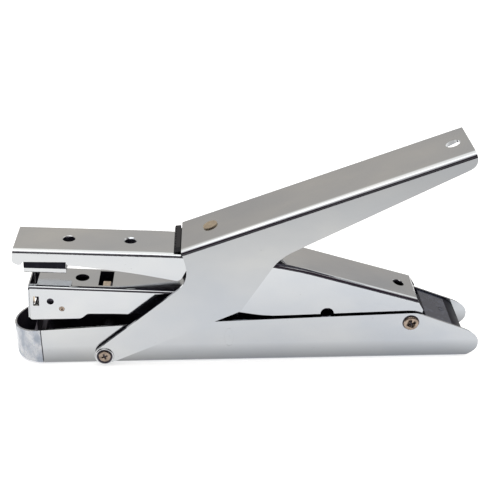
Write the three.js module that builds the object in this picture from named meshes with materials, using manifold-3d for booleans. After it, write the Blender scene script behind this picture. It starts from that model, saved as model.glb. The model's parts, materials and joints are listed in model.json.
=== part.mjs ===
// Plier stapler: a squeeze lever, an anvil arm and a staple magazine on a folded steel base.
// Millimetres. +X points from the nose to the tail, +Z up, Y = 0 is the middle plane.
// The origin is on the surface that the stapler stands on, under the middle of its box.

import * as THREE from 'three';
import { mergeVertices } from 'three/addons/utils/BufferGeometryUtils.js';
import Module from 'manifold-3d';

const wasm = await Module();
wasm.setup();

// ---------------------------------------------------------------- driving dimensions

const overallLength = 201.2;     // nose to tail of the base
const baseWidth = 25.0;          // outside of the base channel
const gap = 0.3;                 // free space between neighbouring pieces
const seat = 0.1;                // under a screw head, beside a washer or in a snug slot
const pinPlay = 0.06;            // radial play of a pin in its hole
const arcSteps = 6;              // segments in a rounded corner
const roundSteps = 32;           // segments round a pin or hole

// Base
const baseWall = 0.8;
const baseBend = 1.6;            // outer bend radius
const rimFront = 17.2;           // height of the base walls behind the nose
const rimRear = 22.5;            // and at the rear pivot
const noseFrontHeight = 15.5;
const seamGap = 0.4;             // joint between the nose cap and the base channel
const handlePivotInset = 39.4;   // from the nose
const handlePivotHeight = 5.1;
const rearPivotInset = 30.2;     // from the tail
const rearPivotHeight = 17.8;
const pivotShank = 2.0;          // shank radius of the pivot screws

// Anvil arm
const armWall = 0.9;
const armBend = 2.2;             // outer bend radius
const armTipInset = 3.9;         // from the nose
const armTopFront = 55.7;
const anvilInset = 8.1;          // from the nose to the front of the anvil tray
const anvilLength = 17.4;
const anvilBottom = 44.0;
const anvilWall = 1.2;
const anvilBend = 1.6;           // outer bend radius

// Magazine
const magazineInset = 8.3;       // from the nose
const magazineTopFront = 37.1;
const magazineTopRear = 26.4;
const magazineWall = 1.2;
const magazineBend = 1.7;        // outer bend radius
const magazineDepth = 12.0;
const nestGap = 0.3;             // between the nested side walls at the rear pivot
const bracketWall = 1.0;
const stapleHeight = 7.0;        // inside height of the staple channel
const railWall = 0.7;
const rodRadius = 1.0;
const followerSpringRadius = 1.8;
const followerLength = 10;

// Handle
const handleWall = 1.2;
const handleBend = 3.0;         // outer bend radius
const wingGap = 1.0;             // between the base and a wing
const handleSlope = THREE.MathUtils.degToRad(19.8);
const handleLength = 124.0;      // along its top
// Control points of the curve that rounds the lever's rear end, from its top corner.
const heelPull = { x: 0.6, y: -6.6 };
const crownPull = { x: 2.3, y: -4.6 };
const crownReach = 0.2;
const wingEnd = 4.3;             // radius of a wing round its pivot

// ---------------------------------------------------------------- sizes that follow

const noseX = -overallLength / 2;
const tailX = overallLength / 2;
const noseRadius = baseWidth / 2;
const noseCentreX = noseX + noseRadius;
const baseInside = baseWidth / 2 - baseWall;
const handlePivot = new THREE.Vector2(noseX + handlePivotInset, handlePivotHeight);
const rearPivot = new THREE.Vector2(tailX - rearPivotInset, rearPivotHeight);

const armHalf = baseInside - 0.25;
const armInside = armHalf - armWall;
const bracketHalf = armInside - nestGap;
const bracketInside = bracketHalf - bracketWall;
const magazineHalf = bracketInside - nestGap;
const magazineInside = magazineHalf - magazineWall;
const railHalf = magazineInside - 0.4;
const railInside = railHalf - railWall;
const railTop = magazineWall + gap;
const railFloor = railTop + stapleHeight;
const rodDepth = railFloor - followerSpringRadius - seat;
const wingInside = baseWidth / 2 + wingGap;
const wingOutside = wingInside + handleWall;

const magazineFrontX = noseX + magazineInset;
const magazineLength = rearPivot.x + 5.2 - magazineFrontX;
const magazineTilt = Math.atan2(magazineTopFront - magazineTopRear, magazineLength);

const fromNose = distance => noseX + distance;
const fromRearPivot = distance => rearPivot.x + distance;

// ---------------------------------------------------------------- materials

const finish = (color, roughness, metalness) => (
  new THREE.MeshStandardMaterial({ color, roughness, metalness })
);
const metal = (color, roughness) => finish(color, roughness, 1);
const chrome = () => metal(0xd4d6d8, 0.12);
const zinc = () => metal(0x9ea6b0, 0.45);
const nickel = () => metal(0xc2ac92, 0.3);
const brass = () => metal(0xa3896a, 0.4);
const steel = () => metal(0x8c9096, 0.35);
const blackPlastic = () => finish(0x16181c, 0.3, 0);

// ---------------------------------------------------------------- shape helpers

// A closed solid for joining and cutting, from any closed geometry.
function solid(geometry) {
  geometry.deleteAttribute('normal');
  geometry.deleteAttribute('uv');
  const merged = mergeVertices(geometry, 1e-4);
  return new wasm.Manifold(new wasm.Mesh({
    numProp: 3,
    vertProperties: merged.attributes.position.array,
    triVerts: Uint32Array.from(merged.index.array),
  }));
}

// An outline through [x, z, trim] corners; a corner with a trim is rounded, starting that far from it,
// or just short of the middle of a shorter side.
function outline(corners) {
  const shape = new THREE.Shape();
  const points = corners.map(([x, z]) => new THREE.Vector2(x, z));
  corners.forEach(([, , wanted = 0], index) => {
    const corner = points[index];
    const before = points[(index + points.length - 1) % points.length];
    const after = points[(index + 1) % points.length];
    const room = 0.49 * Math.min(corner.distanceTo(before), corner.distanceTo(after));
    const trim = Math.min(wanted, room);
    const enter = corner.clone().lerp(before, trim / corner.distanceTo(before));
    const leave = corner.clone().lerp(after, trim / corner.distanceTo(after));
    if (index === 0) shape.moveTo(enter.x, enter.y);
    else shape.lineTo(enter.x, enter.y);
    if (trim > 0) shape.quadraticCurveTo(corner.x, corner.y, leave.x, leave.y);
  });
  return shape;
}

// A prism with an XZ outline, between two Y values.
function sidePrism(shape, yLow, yHigh, curveSegments = arcSteps) {
  const settings = { depth: yHigh - yLow, bevelEnabled: false, curveSegments };
  const geometry = new THREE.ExtrudeGeometry(shape, settings);
  return solid(geometry.rotateX(Math.PI / 2).translate(0, yHigh, 0));
}

// A prism with an XY outline, between two Z values.
function flatPrism(shape, zLow, zHigh, curveSegments = arcSteps) {
  const settings = { depth: zHigh - zLow, bevelEnabled: false, curveSegments };
  const geometry = new THREE.ExtrudeGeometry(shape, settings);
  return solid(geometry.translate(0, 0, zLow));
}

function block(xLow, xHigh, yLow, yHigh, zLow, zHigh) {
  const geometry = new THREE.BoxGeometry(xHigh - xLow, yHigh - yLow, zHigh - zLow);
  return solid(geometry.translate((xLow + xHigh) / 2, (yLow + yHigh) / 2, (zLow + zHigh) / 2));
}

function rodAlongY(x, z, radius, yLow, yHigh) {
  const geometry = new THREE.CylinderGeometry(radius, radius, yHigh - yLow, roundSteps);
  return solid(geometry.translate(x, (yLow + yHigh) / 2, z));
}

// A tube along Y between two |y| values, on one side of the middle plane.
function collar(pivot, side, radius, boreRadius, low, high) {
  const [from, to] = side > 0 ? [low, high] : [-high, -low];
  return rodAlongY(pivot.x, pivot.y, radius, from, to)
    .subtract(rodAlongY(pivot.x, pivot.y, boreRadius, from - 1, to + 1));
}

function rodAlongZ(x, y, radius, zLow, zHigh) {
  const geometry = new THREE.CylinderGeometry(radius, radius, zHigh - zLow, roundSteps);
  return solid(geometry.rotateX(Math.PI / 2).translate(x, y, (zLow + zHigh) / 2));
}

function rodAlongX(y, z, radius, xLow, xHigh) {
  const geometry = new THREE.CylinderGeometry(radius, radius, xHigh - xLow, roundSteps);
  return solid(geometry.rotateZ(Math.PI / 2).translate((xLow + xHigh) / 2, y, z));
}

// The section of a channel, as [across, out] points: flat face at out = 0, legs towards -out.
function channelSection(half, wall, bend, legs) {
  const points = [];
  const corner = (side, radius, inset, reverse) => {
    for (let step = 0; step <= arcSteps; step += 1) {
      const turn = ((reverse ? arcSteps - step : step) / arcSteps) * (Math.PI / 2);
      const across = side * (half - inset - radius + radius * Math.cos(turn));
      points.push([across, -inset - radius + radius * Math.sin(turn)]);
    }
  };
  points.push([half, -legs]);
  corner(1, bend, 0, false);
  corner(-1, bend, 0, true);
  points.push([-half, -legs], [-half + wall, -legs]);
  corner(-1, Math.max(bend - wall, 0.2), wall, false);
  corner(1, Math.max(bend - wall, 0.2), wall, true);
  points.push([half - wall, -legs]);
  return points;
}

// A folded channel that follows a path of (x, z) points, its flat face on the left of the path.
function channelAlong(path, section) {
  const count = section.length;
  const positions = [];
  const indices = [];
  path.forEach((point, station) => {
    const before = path[Math.max(station - 1, 0)];
    const after = path[Math.min(station + 1, path.length - 1)];
    const along = after.clone().sub(before).normalize();
    for (const [across, out] of section) {
      positions.push(point.x - along.y * out, across, point.y + along.x * out);
    }
  });
  for (let station = 0; station < path.length - 1; station += 1) {
    for (let index = 0; index < count; index += 1) {
      const a = station * count + index;
      const b = station * count + ((index + 1) % count);
      indices.push(a, b, a + count, b, b + count, a + count);
    }
  }
  const faces = THREE.ShapeUtils.triangulateShape(section.map(([y, z]) => new THREE.Vector2(y, z)), []);
  const last = (path.length - 1) * count;
  for (const [a, b, c] of faces) {
    indices.push(a, c, b, last + a, last + b, last + c);
  }
  const geometry = new THREE.BufferGeometry();
  geometry.setAttribute('position', new THREE.Float32BufferAttribute(positions, 3));
  geometry.setIndex(indices);
  return solid(geometry);
}

const straight = (x1, z1, x2, z2) => [new THREE.Vector2(x1, z1), new THREE.Vector2(x2, z2)];

function part(name, shape, material) {
  const mesh = shape.getMesh();
  const geometry = new THREE.BufferGeometry();
  const positions = Float32Array.from(mesh.vertProperties);
  geometry.setAttribute('position', new THREE.BufferAttribute(positions, 3));
  geometry.setIndex(Array.from(mesh.triVerts));
  geometry.computeVertexNormals();
  const piece = new THREE.Mesh(geometry, material);
  piece.name = name;
  return piece;
}

// One piece or cut for each side; the near side has negative Y.
const bothSides = build => [build(-1), build(1)];
const sideName = side => (side < 0 ? 'near' : 'far');

// A hole for a pivot screw through everything it passes.
const pivotHole = (pivot, yLow, yHigh) => rodAlongY(pivot.x, pivot.y, pivotShank + pinPlay, yLow, yHigh);

// ---------------------------------------------------------------- base

function baseOutline() {
  const bottom = -1;
  return outline([
    [noseCentreX + seamGap, bottom],
    [noseCentreX + seamGap, rimFront],
    [fromNose(48), rimFront + 1.8, 14],
    [fromRearPivot(0), rimRear, 3],
    [fromRearPivot(2.6), rimRear - 0.1, 1.2],
    [fromRearPivot(8), rimRear - 2.3, 2],
    [tailX - 4.6, rimRear - 9.3, 3.5],
    [tailX, rimRear - 13.0, 3.2],
    [tailX, 4.0, 3.0],
    [tailX - 5.6, 0, 3.0],
    [tailX - 10, bottom],
  ]);
}

function baseChannel() {
  const section = channelSection(baseWidth / 2, baseWall, baseBend, rimRear + 5);
  const walls = channelAlong(straight(tailX + 1, 0, noseCentreX - 1, 0), section);
  const profile = sidePrism(baseOutline(), -baseWidth, baseWidth);
  const openTail = block(tailX - 8, tailX + 2, -baseInside, baseInside, -1, baseWall + 1);
  return walls.intersect(profile)
    .subtract(pivotHole(handlePivot, -baseWidth, baseWidth))
    .subtract(pivotHole(rearPivot, -baseWidth, baseWidth))
    .subtract(openTail)
    .subtract(rivetHole(rearRivetX));
}

const noseSteps = 20;            // segments round the nose

function noseCap() {
  const outer = new THREE.Shape();
  outer.moveTo(noseCentreX, -noseRadius);
  outer.absarc(noseCentreX, 0, noseRadius, -Math.PI / 2, Math.PI / 2, true);
  const inner = new THREE.Shape();
  inner.moveTo(noseCentreX + 2, -baseInside);
  inner.lineTo(noseCentreX, -baseInside);
  inner.absarc(noseCentreX, 0, baseInside, -Math.PI / 2, Math.PI / 2, true);
  inner.lineTo(noseCentreX + 2, baseInside);
  const cup = flatPrism(outer, 0, rimFront + 1, noseSteps)
    .subtract(flatPrism(inner, baseWall, rimFront + 2, noseSteps));
  const slantedTop = sidePrism(outline([
    [noseX - 1, -1],
    [noseX - 1, noseFrontHeight],
    [noseX, noseFrontHeight],
    [noseCentreX, rimFront],
    [noseCentreX + 1, rimFront],
    [noseCentreX + 1, -1],
  ]), -baseWidth, baseWidth);
  return cup.intersect(slantedTop).subtract(rivetHole(frontRivetX));
}

// The driver stands in the nose; the magazine comes down over it.
const bladeThickness = 0.6;
const bladeX = magazineFrontX + 2.4;
const bladeHalf = railInside - gap;
const bladeTop = 26.6;
const driverHalf = magazineInside - 0.6;
const driverTop = 11.8;
const footTop = 3.8;
const rivetRadius = 1.4;
const rivetHeadRadius = 2.2;
const rivetHeadHeight = 0.8;
const frontRivetX = bladeX - 4.5;
const rearRivetX = noseCentreX + 5.6;

const rivetHole = x => rodAlongZ(x, 0, rivetRadius + pinPlay, -1, footTop + 1);

function driverBlock() {
  const footHalf = driverHalf - 1.2;
  const foot = block(
    frontRivetX - rivetHeadRadius - gap, rearRivetX + rivetHeadRadius + 0.8,
    -footHalf, footHalf, baseWall + gap, footTop,
  );
  const post = block(bladeX - 2.2, bladeX + 2.6, -driverHalf, driverHalf, footTop - 1, driverTop);
  const bladeSlot = block(
    bladeX - bladeThickness / 2 - seat, bladeX + bladeThickness / 2 + seat,
    -bladeHalf - seat, bladeHalf + seat, footTop, driverTop + 1,
  );
  return foot.add(post)
    .subtract(bladeSlot)
    .subtract(rivetHole(frontRivetX))
    .subtract(rivetHole(rearRivetX));
}

function driverBlade() {
  const half = bladeThickness / 2;
  return block(bladeX - half, bladeX + half, -bladeHalf, bladeHalf, footTop + gap, bladeTop);
}

const driverRivet = x => rodAlongZ(x, 0, rivetRadius, seat, footTop + rivetHeadHeight / 2)
  .add(rodAlongZ(x, 0, rivetHeadRadius, footTop + seat, footTop + seat + rivetHeadHeight));

// ---------------------------------------------------------------- pivots

const spacerRadius = 3.4;
const axleEnd = baseInside - gap;

const handleAxle = () => rodAlongY(handlePivot.x, handlePivot.y, spacerRadius, -axleEnd, axleEnd)
  .subtract(pivotHole(handlePivot, -baseWidth, baseWidth));

// A domed screw head with a cross recess, and its shank; side is -1 or 1, face is the |y| it bears on.
function pivotScrew(pivot, side, face, headRadius, headHeight, shankEnd) {
  const dome = new THREE.Shape();
  dome.moveTo(0, 0);
  dome.lineTo(headRadius, 0);
  dome.lineTo(headRadius, headHeight * 0.35);
  dome.quadraticCurveTo(headRadius * 0.85, headHeight, headRadius * 0.45, headHeight);
  dome.lineTo(0, headHeight);
  const head = solid(new THREE.LatheGeometry(dome.getPoints(arcSteps), roundSteps));
  const shank = rodAlongY(0, 0, pivotShank, shankEnd - face, 0.2);
  const recess = block(-0.45, 0.45, headHeight - 0.9, headHeight + 1, -1.5, 1.5)
    .add(block(-1.5, 1.5, headHeight - 0.9, headHeight + 1, -0.45, 0.45));
  const screw = head.add(shank).subtract(recess).translate([0, face, 0]);
  const turned = side > 0 ? screw : screw.rotate([180, 0, 0]);
  return turned.translate([pivot.x, 0, pivot.y]);
}

const handleScrew = side => pivotScrew(handlePivot, side, wingOutside + seat / 2, 2.7, 1.2, 5);
const rearScrew = side => pivotScrew(
  rearPivot, side, baseWidth / 2 + seat / 2, 3.3, 1.3, magazineInside + seat,
);

// A washer fills the room between the base wall and a wing of the handle.
const wingWasher = side => collar(
  handlePivot, side, spacerRadius, pivotShank + pinPlay, baseWidth / 2 + seat, wingInside - seat,
);

// A spacer keeps the hinge bracket in the middle of the base.
const rearSpacer = side => collar(
  rearPivot, side, spacerRadius, pivotShank + pinPlay, bracketHalf + seat, baseInside - seat,
);

// ---------------------------------------------------------------- springs, as plain sleeves

const springWire = 1.0;

const uprightSleeve = (x, radius, low, high) => rodAlongZ(x, 0, radius, low, high)
  .subtract(rodAlongZ(x, 0, radius - springWire, low - 1, high + 1));

const magazineTopAt = x => magazineTopFront - (x - magazineFrontX) * Math.tan(magazineTilt);

const magazineSpringX = fromNose(61.5);
const magazineSpringRadius = 5.4;

function magazineSpring() {
  const high = magazineTopAt(magazineSpringX + magazineSpringRadius) - railFloor - railWall - gap;
  return uprightSleeve(magazineSpringX, magazineSpringRadius, baseWall + gap, high);
}

const armSpringX = fromRearPivot(-44.4);
const armSpringRadius = 4.4;

function armSpring() {
  const low = magazineTopAt(armSpringX - armSpringRadius) + gap;
  const high = armTopAt(armSpringX + armSpringRadius) - armWall - 2 * gap;
  return uprightSleeve(armSpringX, armSpringRadius, low, high);
}

// ---------------------------------------------------------------- anvil arm

const armPath = (() => {
  const tip = new THREE.Vector2(fromNose(armTipInset), armTopFront);
  const bendStart = new THREE.Vector2(fromNose(56.5), 53.05);
  const bendEnd = new THREE.Vector2(fromRearPivot(-43.4), 42.9);
  const bendPull = new THREE.Vector2(THREE.MathUtils.lerp(bendStart.x, bendEnd.x, 0.617), 50.75);
  const rear = new THREE.Vector2(fromRearPivot(6.4), 27.2);
  const bend = new THREE.QuadraticBezierCurve(bendStart, bendPull, bendEnd).getPoints(14);
  return [tip, ...bend, rear];
})();

function armTopAt(x) {
  const next = armPath.findIndex(point => point.x > x);
  const [a, b] = [armPath[next - 1], armPath[next]];
  return a.y + ((x - a.x) / (b.x - a.x)) * (b.y - a.y);
}

function armOutline() {
  return outline([
    [fromNose(5.0), armTopFront + 3],
    [fromNose(3.9), 50.1, 0.8],
    [fromNose(5.8), 48.6, 0.8],
    [fromNose(anvilInset - 0.4), 48.7, 0.4],
    [fromNose(anvilInset + 0.2), 50.1, 0.4],
    [fromNose(anvilInset + anvilLength + 0.4), 49.6, 0.3],
    [fromNose(anvilInset + anvilLength + 1.0), 47.9, 0.3],
    [fromNose(30), 47.6, 1.2],
    [fromNose(52), 44.2, 8],
    [fromNose(72.6), 39.5, 2.2],
    [fromNose(75.9), 45.6, 1.5],
    [fromNose(80), 45.6, 1.5],
    [fromNose(96.5), 24.2, 1.0],
    [fromNose(109), 21.8, 6],
    [fromRearPivot(1), 23.3, 3],
    [fromRearPivot(6.4), 20.9, 0.5],
    [fromRearPivot(1.9), 29],
    [fromRearPivot(1.2), armTopFront + 3],
  ]);
}

const armHoles = [
  [fromNose(26.4), 2.55],
  [fromNose(52.0), 2.35],
  [fromRearPivot(-4.3), 2.4],
];
const armNotch = new THREE.Vector2(fromRearPivot(-36.1), 22.4);
const armNotchRadius = 2.9;

function anvilArm() {
  const folded = channelAlong(armPath, channelSection(armHalf, armWall, armBend, 34));
  const reach = 6;
  const holes = armHoles.map(([x, radius]) => (
    rodAlongZ(x, 0, radius, armTopAt(x) - reach, armTopAt(x) + reach)
  ));
  const shaped = folded.intersect(sidePrism(armOutline(), -baseWidth, baseWidth));
  return holes.reduce((rest, hole) => rest.subtract(hole), shaped)
    .subtract(rodAlongY(armNotch.x, armNotch.y, armNotchRadius, -baseWidth, baseWidth));
}

// The anvil is a shallow tray between the arm's flanges, with two curved pockets that turn the legs in.
function anvilPlate() {
  const front = fromNose(anvilInset);
  const rear = front + anvilLength;
  const half = armInside - gap;
  const bottomRear = anvilBottom - 0.9;
  const roof = armTopAt(rear) - armWall - 1.5;
  const section = channelSection(half, anvilWall, anvilBend, roof - bottomRear);
  const tray = channelAlong(straight(rear, bottomRear, front, anvilBottom), section);
  const pockets = bothSides(side => {
    const groove = new THREE.SphereGeometry(4.2, 20, 12).scale(0.3, 0.8, 0.25);
    return solid(groove.translate(bladeX - 0.4, side * bladeHalf * 0.62, anvilBottom - 0.35));
  });
  return tray.subtract(pockets[0]).subtract(pockets[1]);
}

function hingeBracket() {
  const drop = armWall + nestGap + 0.1;
  const start = fromRearPivot(-27);
  const end = fromRearPivot(3);
  const path = straight(start, armTopAt(start) - drop, end, armTopAt(end) - drop);
  const section = channelSection(bracketHalf, bracketWall, armBend - nestGap, 34);
  const ear = outline([
    [start + 1, armTopAt(start) + 3],
    [start + 1, 27.5, 3],
    [rearPivot.x - 7, 24.2, 3],
    [rearPivot.x - 4.4, rearPivot.y - 4.4, 3.4],
    [rearPivot.x + 4.4, rearPivot.y - 4.4, 3.4],
    [rearPivot.x + 4.4, rearPivot.y + 3.2, 2],
    [rearPivot.x - 0.5, rearPivot.y + 7.6, 2],
    [rearPivot.x - 7.5, rearPivot.y + 8.6, 0.8],
    [rearPivot.x - 8.5, armTopFront],
  ]);
  return channelAlong(path, section)
    .intersect(sidePrism(ear, -baseWidth, baseWidth))
    .subtract(rodAlongZ(armHoles[2][0], 0, armHoles[2][1] + 1, rearPivot.y, armTopFront))
    .subtract(pivotHole(rearPivot, -baseWidth, baseWidth));
}

// ---------------------------------------------------------------- magazine
// Drawn level: x along it from its front, its top at z = 0.

const magazineGroup = new THREE.Group();
magazineGroup.position.set(magazineFrontX, 0, magazineTopFront);
magazineGroup.rotation.y = magazineTilt;

// The rear pivot, seen from the level magazine.
const magazinePivot = (() => {
  const offset = new THREE.Vector2(rearPivot.x - magazineFrontX, rearPivot.y - magazineTopFront);
  return offset.rotateAround(new THREE.Vector2(0, 0), magazineTilt);
})();

const frontPlateWall = 0.6;
const frontPlateStart = 0.35;
const exitDepth = 4.0;           // from the front plate to the first staple
const pinDepth = railFloor + railWall + 1.35;
const pinX = 14.5;
const pinRadius = 1.15;

function magazineHousing() {
  const front = frontPlateStart + frontPlateWall + 0.1;
  const section = channelSection(magazineHalf, magazineWall, magazineBend, magazineDepth + 8);
  const folded = channelAlong(straight(0, 0, magazineLength + 2, 0), section);
  const side = outline([
    [front, 3],
    [front, -magazineDepth - 4.4, 1.3],
    [22.6, -magazineDepth - 3.0, 1.0],
    [25.3, -magazineDepth - 0.5, 0.8],
    [38, -magazineDepth, 4],
    [magazinePivot.x + 4.4, -magazineDepth, 2],
    [magazinePivot.x + 4.4, magazinePivot.y + 3.4, 1],
    [magazinePivot.x + 0.8, 1],
    [magazinePivot.x, 3],
  ]);
  const exit = block(-1, exitDepth, -railInside - 0.2, railInside + 0.2, -magazineWall - 0.5, 1);
  const topHole = rodAlongZ(22.4, 0, 2.95, -3, 1);
  const windowHalf = magazineInside - 1.6;
  const topWindow = block(29.6, 35.6, -windowHalf, windowHalf, -3, 1);
  const sideWindow = block(2.5, 5.0, -baseWidth, baseWidth, -9.5, -4.9);
  const sideHole = rodAlongY(9.7, -7.1, 1.5, -baseWidth, baseWidth);
  return folded.intersect(sidePrism(side, -baseWidth, baseWidth))
    .subtract(exit)
    .subtract(topHole)
    .subtract(topWindow)
    .subtract(sideWindow)
    .subtract(sideHole)
    .subtract(rodAlongY(pinX, -pinDepth, pinRadius + pinPlay, -baseWidth, baseWidth))
    .subtract(pivotHole(magazinePivot, -baseWidth, baseWidth));
}

function magazineFront() {
  const half = magazineHalf - gap;
  const face = new THREE.Shape();
  face.moveTo(-half, -magazineDepth - 3.6);
  face.lineTo(half, -magazineDepth - 3.6);
  face.lineTo(half, -3);
  face.quadraticCurveTo(half, -0.4, half - 2.4, -0.4);
  face.lineTo(-half + 2.4, -0.4);
  face.quadraticCurveTo(-half, -0.4, -half, -3);
  const settings = { depth: frontPlateWall, bevelEnabled: false, curveSegments: arcSteps };
  const geometry = new THREE.ExtrudeGeometry(face, settings);
  const toYZ = new THREE.Matrix4().makeBasis(
    new THREE.Vector3(0, 1, 0), new THREE.Vector3(0, 0, 1), new THREE.Vector3(1, 0, 0),
  );
  return solid(geometry.applyMatrix4(toYZ).translate(frontPlateStart, 0, 0));
}

const frontPin = () => rodAlongY(pinX, -pinDepth, pinRadius, seat - magazineHalf, magazineHalf - seat);

function stapleRail() {
  const rear = magazinePivot.x + 1;
  const depth = railFloor + railWall;
  const section = channelSection(railHalf, railWall, 1.0, depth - railTop);
  const channel = channelAlong(straight(rear, -depth, exitDepth + 0.3, -depth), section);
  const tab = block(32.4, 35.3, -railHalf + railWall / 2, -0.6, -railTop - railWall, -railTop);
  return channel.add(tab);
}

const rodStart = 6;
const rodEnd = magazinePivot.x + 3.6;

const guideRod = () => rodAlongX(0, -rodDepth, rodRadius, rodStart, rodEnd);

const followerStart = exitDepth + 1.0;

function follower() {
  const half = railInside - gap;
  const end = followerStart + followerLength;
  const body = block(followerStart, end, -half, half, -railFloor + gap, -railTop - railWall - gap);
  const hollow = block(followerStart + 1, end + 1, -half + 1, half - 1, -rodDepth + 2.2, 0);
  const bore = rodAlongX(0, -rodDepth, rodRadius + seat, 0, end + 1);
  return body.subtract(hollow).subtract(bore);
}

const followerSpring = () => {
  const low = followerStart + followerLength + gap;
  const high = rodEnd - 4;
  return rodAlongX(0, -rodDepth, followerSpringRadius, low, high)
    .subtract(rodAlongX(0, -rodDepth, rodRadius + gap, low - 1, high + 1));
};

// The black cap closes the tail of the base and pulls the rod out of the magazine.
const capFront = fromRearPivot(6.5);
const capBottom = 8.2;

function endCap() {
  const half = baseInside - gap;
  const slope = 0.41;
  const topFront = rimRear - 2.3;
  const rearTopX = tailX - 9.5;
  const side = outline([
    [capFront, capBottom, 1],
    [capFront, topFront, 0.6],
    [rearTopX, topFront - slope * (rearTopX - capFront), 2.4],
    [tailX - 6.0, capBottom + 2.4, 1.2],
    [tailX - 7.2, capBottom, 1],
  ]);
  const neckHalf = railInside - 0.4;
  const neck = sidePrism(outline([
    [fromRearPivot(3), rearPivot.y - 3.6],
    [fromRearPivot(3), rearPivot.y + 4.6],
    [capFront + 1, rearPivot.y + 1.8],
    [capFront + 1, rearPivot.y - 3.6],
  ]), -neckHalf, neckHalf);
  const socketRadius = rodRadius + seat;
  const rodSocket = solid(new THREE.CylinderGeometry(socketRadius, socketRadius, 2 * rodEnd, roundSteps)
    .rotateZ(Math.PI / 2)
    .translate(0, 0, -rodDepth)
    .rotateY(magazineTilt)
    .translate(magazineFrontX, 0, magazineTopFront));
  return sidePrism(side, -half, half).add(neck).subtract(rodSocket);
}

magazineGroup.add(
  part('magazine_housing', magazineHousing(), chrome()),
  part('magazine_front_plate', magazineFront(), chrome()),
  part('magazine_pin', frontPin(), nickel()),
  part('staple_rail', stapleRail(), nickel()),
  part('guide_rod', guideRod(), steel()),
  part('follower', follower(), steel()),
  part('follower_spring', followerSpring(), steel()),
);

// ---------------------------------------------------------------- handle, drawn from its pivot

const handleFront = new THREE.Vector2(34.4, 50.3);
const handleRear = handleFront.clone().add(
  new THREE.Vector2(Math.cos(handleSlope), Math.sin(handleSlope)).multiplyScalar(handleLength),
);

const handleTopAt = x => handleFront.y + (x - handleFront.x) * Math.tan(handleSlope);

function handleOutline() {
  const shape = new THREE.Shape();
  const waist = new THREE.Vector2(33.4, 32.9);
  const heel = new THREE.Vector2(58.4, 21.2);
  const upperTangent = Math.atan2(waist.y, waist.x) + Math.acos(wingEnd / waist.length());
  const lowerTangent = Math.atan2(heel.y, heel.x) - Math.acos(wingEnd / heel.length());
  shape.moveTo(handleFront.x - 0.3, handleFront.y + 6);
  shape.lineTo(handleFront.x - 0.2, handleFront.y - 1);
  shape.bezierCurveTo(36.0, 44.6, 38.0, 37.0, waist.x - 0.6, waist.y - 0.5);
  shape.absarc(0, 0, wingEnd, upperTangent, lowerTangent + 2 * Math.PI, false);
  shape.lineTo(heel.x - 1.2, heel.y - 0.5);
  shape.quadraticCurveTo(heel.x, heel.y, heel.x + 0.8, heel.y + 1.3);
  shape.lineTo(70.6, 40.2);
  shape.quadraticCurveTo(74.2, 46.4, 80.4, 49.4);
  shape.lineTo(handleRear.x - 2.2, handleRear.y - 8.0);
  shape.bezierCurveTo(
    handleRear.x + heelPull.x,
    handleRear.y + heelPull.y,
    handleRear.x + crownPull.x,
    handleRear.y + crownPull.y,
    handleRear.x + crownReach,
    handleRear.y,
  );
  shape.lineTo(handleRear.x + 0.2, handleRear.y + 6);
  return shape;
}

const gripHoleX = 145.1;
const gripHoleRadius = 3.0;
const padRivetX = 46.3;
const padRivetShank = 1.5;

// A rod square to the top of the handle, at a distance along x, between two heights over its top face.
function rodThroughHandle(x, radius, low, high) {
  const geometry = new THREE.CylinderGeometry(radius, radius, high - low, roundSteps)
    .rotateX(Math.PI / 2)
    .translate(0, 0, (low + high) / 2)
    .rotateY(-handleSlope)
    .translate(x, 0, handleTopAt(x));
  return solid(geometry);
}

function handleLever() {
  const start = -5 * wingEnd;
  const end = handleRear.x + 4;
  const path = straight(start, handleTopAt(start), end, handleTopAt(end));
  const wingReach = 2 * handleFront.length();
  const folded = channelAlong(path, channelSection(wingOutside, handleWall, handleBend, wingReach));
  return folded.intersect(sidePrism(handleOutline(), -baseWidth, baseWidth, 12))
    .subtract(rodThroughHandle(gripHoleX, gripHoleRadius, -4, 4))
    .subtract(rodThroughHandle(padRivetX, padRivetShank + pinPlay, -4, 4))
    .subtract(pivotHole(new THREE.Vector2(0, 0), -baseWidth, baseWidth));
}

// The nylon pad fills the wedge over the arm; its front lip shows ahead of the handle.
const padHalf = wingInside - 3.5;
const padContact = new THREE.Vector2(31.6, 47.5);
const padTaper = THREE.MathUtils.degToRad(9.5);
const padDepth = 4.2;             // of the rivet hole, below the top of the handle

function camPad() {
  const under = x => handleTopAt(x) - handleWall / Math.cos(handleSlope) - gap;
  const rear = handleFront.x + 24;
  const side = outline([
    [padContact.x, padContact.y, 0.5],
    [padContact.x - 0.6, padContact.y + 0.9, 0.4],
    [padContact.x - 0.2, padContact.y + 2.3, 0.4],
    [handleFront.x - 0.6, handleFront.y - 0.3],
    [handleFront.x - 0.6, under(handleFront.x - 0.6)],
    [rear, under(rear), 0.5],
    [rear, padContact.y + (rear - padContact.x) * Math.tan(handleSlope - padTaper), 1],
  ]);
  return sidePrism(side, -padHalf, padHalf)
    .subtract(rodThroughHandle(padRivetX, padRivetShank + pinPlay, -padDepth, 2));
}

const padRivetHead = 3.1;

const padRivetShape = () => rodThroughHandle(padRivetX, padRivetShank, gap - padDepth, 0.3)
  .add(rodThroughHandle(padRivetX, padRivetHead, seat / 2, seat / 2 + 0.6));

const handleGroup = new THREE.Group();
handleGroup.position.set(handlePivot.x, 0, handlePivot.y);
handleGroup.add(
  part('handle_lever', handleLever(), chrome()),
  part('cam_pad', camPad(), blackPlastic()),
  part('pad_rivet', padRivetShape(), brass()),
);

// ---------------------------------------------------------------- the stapler

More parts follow.
